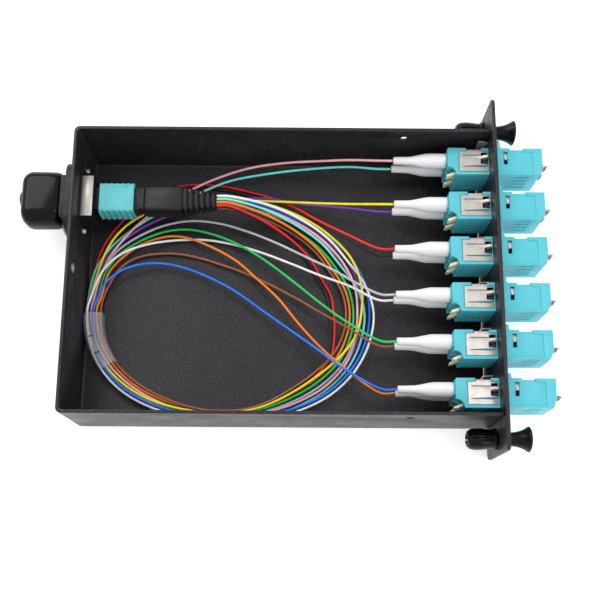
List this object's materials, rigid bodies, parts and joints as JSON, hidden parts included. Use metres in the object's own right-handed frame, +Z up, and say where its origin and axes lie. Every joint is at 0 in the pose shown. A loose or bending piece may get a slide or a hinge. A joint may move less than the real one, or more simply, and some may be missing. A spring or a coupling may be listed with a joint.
{
  "type": "fibre breakout cassette",
  "caption": "Open black steel tray with a multi-fibre inlet at the back, coiled coloured fibres and duplex adapters across the front plate.",
  "frame": {"origin": "centre of the tray's underside, where it rests", "axes": "+X from the tray out through the front plate, +Y across towards the side the multi-fibre inlet is on, +Z up out of the open tray"},
  "size_m": [0.1962, 0.1296, 0.029],
  "materials": {
    "tray_steel": "black textured powder coat over 1.2 mm steel sheet",
    "aqua_plastic": "moulded aqua polymer, satin",
    "white_boot": "soft white moulded boot, satin",
    "ivory_plastic": "moulded ivory polymer, satin",
    "clear_plug": "cloudy translucent grey polymer",
    "black_plastic": "black moulded nylon, satin",
    "black_rubber": "glossy black elastomer",
    "clear_film": "thin clear film",
    "clip_metal": "satin stainless spring clip",
    "screw_steel": "bright pan-head screws",
    "fibre_black": "smooth black 0.9 mm buffer jacket, satin",
    "fibre_blue": "smooth blue 0.9 mm buffer jacket, satin",
    "fibre_orange": "smooth orange 0.9 mm buffer jacket, satin",
    "fibre_green": "smooth green 0.9 mm buffer jacket, satin",
    "fibre_brown": "smooth brown 0.9 mm buffer jacket, satin",
    "fibre_slate": "smooth slate 0.9 mm buffer jacket, satin",
    "fibre_white": "smooth white 0.9 mm buffer jacket, satin",
    "fibre_red": "smooth red 0.9 mm buffer jacket, satin",
    "fibre_yellow": "smooth yellow 0.9 mm buffer jacket, satin",
    "fibre_violet": "smooth violet 0.9 mm buffer jacket, satin",
    "fibre_rose": "smooth rose 0.9 mm buffer jacket, satin",
    "fibre_aqua": "smooth aqua 0.9 mm buffer jacket, satin"
  },
  "bodies": {
    "housing": {"tray": "tray_steel", "front_plate": "tray_steel", "adapter_body_1": "aqua_plastic", "adapter_body_2": "aqua_plastic", "adapter_body_3": "aqua_plastic", "adapter_body_4": "aqua_plastic", "adapter_body_5": "aqua_plastic", "adapter_body_6": "aqua_plastic", "lc_connector_1_upper": "white_boot", "lc_connector_1_lower": "white_boot", "lc_connector_2_upper": "white_boot", "lc_connector_2_lower": "white_boot", "lc_connector_3_upper": "white_boot", "lc_connector_3_lower": "white_boot", "lc_connector_4_upper": "white_boot", "lc_connector_4_lower": "white_boot", "lc_connector_5_upper": "white_boot", "lc_connector_5_lower": "white_boot", "lc_connector_6_upper": "white_boot", "lc_connector_6_lower": "white_boot", "trunk_adapter": "black_plastic", "trunk_connector": "black_plastic", "trunk_boot": "black_plastic", "grommet_far": "black_plastic", "grommet_near": "black_plastic", "fibre_black": "fibre_black", "fibre_blue": "fibre_blue", "fibre_orange": "fibre_orange", "fibre_green": "fibre_green", "fibre_brown": "fibre_brown", "fibre_slate": "fibre_slate", "fibre_white": "fibre_white", "fibre_red": "fibre_red", "fibre_yellow": "fibre_yellow", "fibre_violet": "fibre_violet", "fibre_rose": "fibre_rose", "fibre_aqua": "fibre_aqua", "fibre_wrap": "clear_film"},
    "lc_latch_1_upper": {"lc_latch_1_upper": "ivory_plastic"},
    "lc_latch_1_lower": {"lc_latch_1_lower": "ivory_plastic"},
    "lc_latch_2_upper": {"lc_latch_2_upper": "ivory_plastic"},
    "lc_latch_2_lower": {"lc_latch_2_lower": "ivory_plastic"},
    "lc_latch_3_upper": {"lc_latch_3_upper": "ivory_plastic"},
    "lc_latch_3_lower": {"lc_latch_3_lower": "ivory_plastic"},
    "lc_latch_4_upper": {"lc_latch_4_upper": "ivory_plastic"},
    "lc_latch_4_lower": {"lc_latch_4_lower": "ivory_plastic"},
    "lc_latch_5_upper": {"lc_latch_5_upper": "ivory_plastic"},
    "lc_latch_5_lower": {"lc_latch_5_lower": "ivory_plastic"},
    "lc_latch_6_upper": {"lc_latch_6_upper": "ivory_plastic"},
    "lc_latch_6_lower": {"lc_latch_6_lower": "ivory_plastic"},
    "dust_plug_1": {"dust_plug_1": "clear_plug"},
    "dust_plug_2": {"dust_plug_2": "clear_plug"},
    "dust_plug_3": {"dust_plug_3": "clear_plug"},
    "dust_plug_4": {"dust_plug_4": "clear_plug"},
    "dust_plug_5": {"dust_plug_5": "clear_plug"},
    "dust_plug_6": {"dust_plug_6": "clear_plug"},
    "trunk_sleeve": {"trunk_sleeve": "aqua_plastic"},
    "trunk_dust_cap": {"trunk_dust_cap": "black_rubber"},
    "plunger_far": {"plunger_far": "black_plastic"},
    "plunger_near": {"plunger_near": "black_plastic"}
  },
  "joints": [
    {"name": "latch_1_upper_press", "type": "hinge", "parent": "housing", "child": "lc_latch_1_upper", "pos_m": [0.07, 0.04245, 0.01762], "axis": [0, 0, -1], "range_deg": [0, 8], "stiffness_Nm_per_rad": 0.1},
    {"name": "latch_1_lower_press", "type": "hinge", "parent": "housing", "child": "lc_latch_1_lower", "pos_m": [0.07, 0.04245, 0.01137], "axis": [0, 0, -1], "range_deg": [0, 8], "stiffness_Nm_per_rad": 0.1},
    {"name": "latch_2_upper_press", "type": "hinge", "parent": "housing", "child": "lc_latch_2_upper", "pos_m": [0.07, 0.02495, 0.01762], "axis": [0, 0, -1], "range_deg": [0, 8], "stiffness_Nm_per_rad": 0.1},
    {"name": "latch_2_lower_press", "type": "hinge", "parent": "housing", "child": "lc_latch_2_lower", "pos_m": [0.07, 0.02495, 0.01137], "axis": [0, 0, -1], "range_deg": [0, 8], "stiffness_Nm_per_rad": 0.1},
    {"name": "latch_3_upper_press", "type": "hinge", "parent": "housing", "child": "lc_latch_3_upper", "pos_m": [0.07, 0.00745, 0.01762], "axis": [0, 0, -1], "range_deg": [0, 8], "stiffness_Nm_per_rad": 0.1},
    {"name": "latch_3_lower_press", "type": "hinge", "parent": "housing", "child": "lc_latch_3_lower", "pos_m": [0.07, 0.00745, 0.01137], "axis": [0, 0, -1], "range_deg": [0, 8], "stiffness_Nm_per_rad": 0.1},
    {"name": "latch_4_upper_press", "type": "hinge", "parent": "housing", "child": "lc_latch_4_upper", "pos_m": [0.07, -0.01005, 0.01762], "axis": [0, 0, -1], "range_deg": [0, 8], "stiffness_Nm_per_rad": 0.1},
    {"name": "latch_4_lower_press", "type": "hinge", "parent": "housing", "child": "lc_latch_4_lower", "pos_m": [0.07, -0.01005, 0.01137], "axis": [0, 0, -1], "range_deg": [0, 8], "stiffness_Nm_per_rad": 0.1},
    {"name": "latch_5_upper_press", "type": "hinge", "parent": "housing", "child": "lc_latch_5_upper", "pos_m": [0.07, -0.02755, 0.01762], "axis": [0, 0, -1], "range_deg": [0, 8], "stiffness_Nm_per_rad": 0.1},
    {"name": "latch_5_lower_press", "type": "hinge", "parent": "housing", "child": "lc_latch_5_lower", "pos_m": [0.07, -0.02755, 0.01137], "axis": [0, 0, -1], "range_deg": [0, 8], "stiffness_Nm_per_rad": 0.1},
    {"name": "latch_6_upper_press", "type": "hinge", "parent": "housing", "child": "lc_latch_6_upper", "pos_m": [0.07, -0.04505, 0.01762], "axis": [0, 0, -1], "range_deg": [0, 8], "stiffness_Nm_per_rad": 0.1},
    {"name": "latch_6_lower_press", "type": "hinge", "parent": "housing", "child": "lc_latch_6_lower", "pos_m": [0.07, -0.04505, 0.01137], "axis": [0, 0, -1], "range_deg": [0, 8], "stiffness_Nm_per_rad": 0.1},
    {"name": "dust_plug_1_pull", "type": "slide", "parent": "housing", "child": "dust_plug_1", "axis": [1, 0, 0], "range_m": [0, 0.016]},
    {"name": "dust_plug_2_pull", "type": "slide", "parent": "housing", "child": "dust_plug_2", "axis": [1, 0, 0], "range_m": [0, 0.016]},
    {"name": "dust_plug_3_pull", "type": "slide", "parent": "housing", "child": "dust_plug_3", "axis": [1, 0, 0], "range_m": [0, 0.016]},
    {"name": "dust_plug_4_pull", "type": "slide", "parent": "housing", "child": "dust_plug_4", "axis": [1, 0, 0], "range_m": [0, 0.016]},
    {"name": "dust_plug_5_pull", "type": "slide", "parent": "housing", "child": "dust_plug_5", "axis": [1, 0, 0], "range_m": [0, 0.016]},
    {"name": "dust_plug_6_pull", "type": "slide", "parent": "housing", "child": "dust_plug_6", "axis": [1, 0, 0], "range_m": [0, 0.016]},
    {"name": "trunk_sleeve_pull", "type": "slide", "parent": "housing", "child": "trunk_sleeve", "axis": [1, 0, 0], "range_m": [0, 0.003], "stiffness_N_per_m": 800},
    {"name": "trunk_dust_cap_pull", "type": "slide", "parent": "housing", "child": "trunk_dust_cap", "axis": [-1, 0, 0], "range_m": [0, 0.008]},
    {"name": "plunger_far_pull", "type": "slide", "parent": "housing", "child": "plunger_far", "axis": [1, 0, 0], "range_m": [0, 0.0045]},
    {"name": "plunger_near_pull", "type": "slide", "parent": "housing", "child": "plunger_near", "axis": [1, 0, 0], "range_m": [0, 0.0045]}
  ]
}
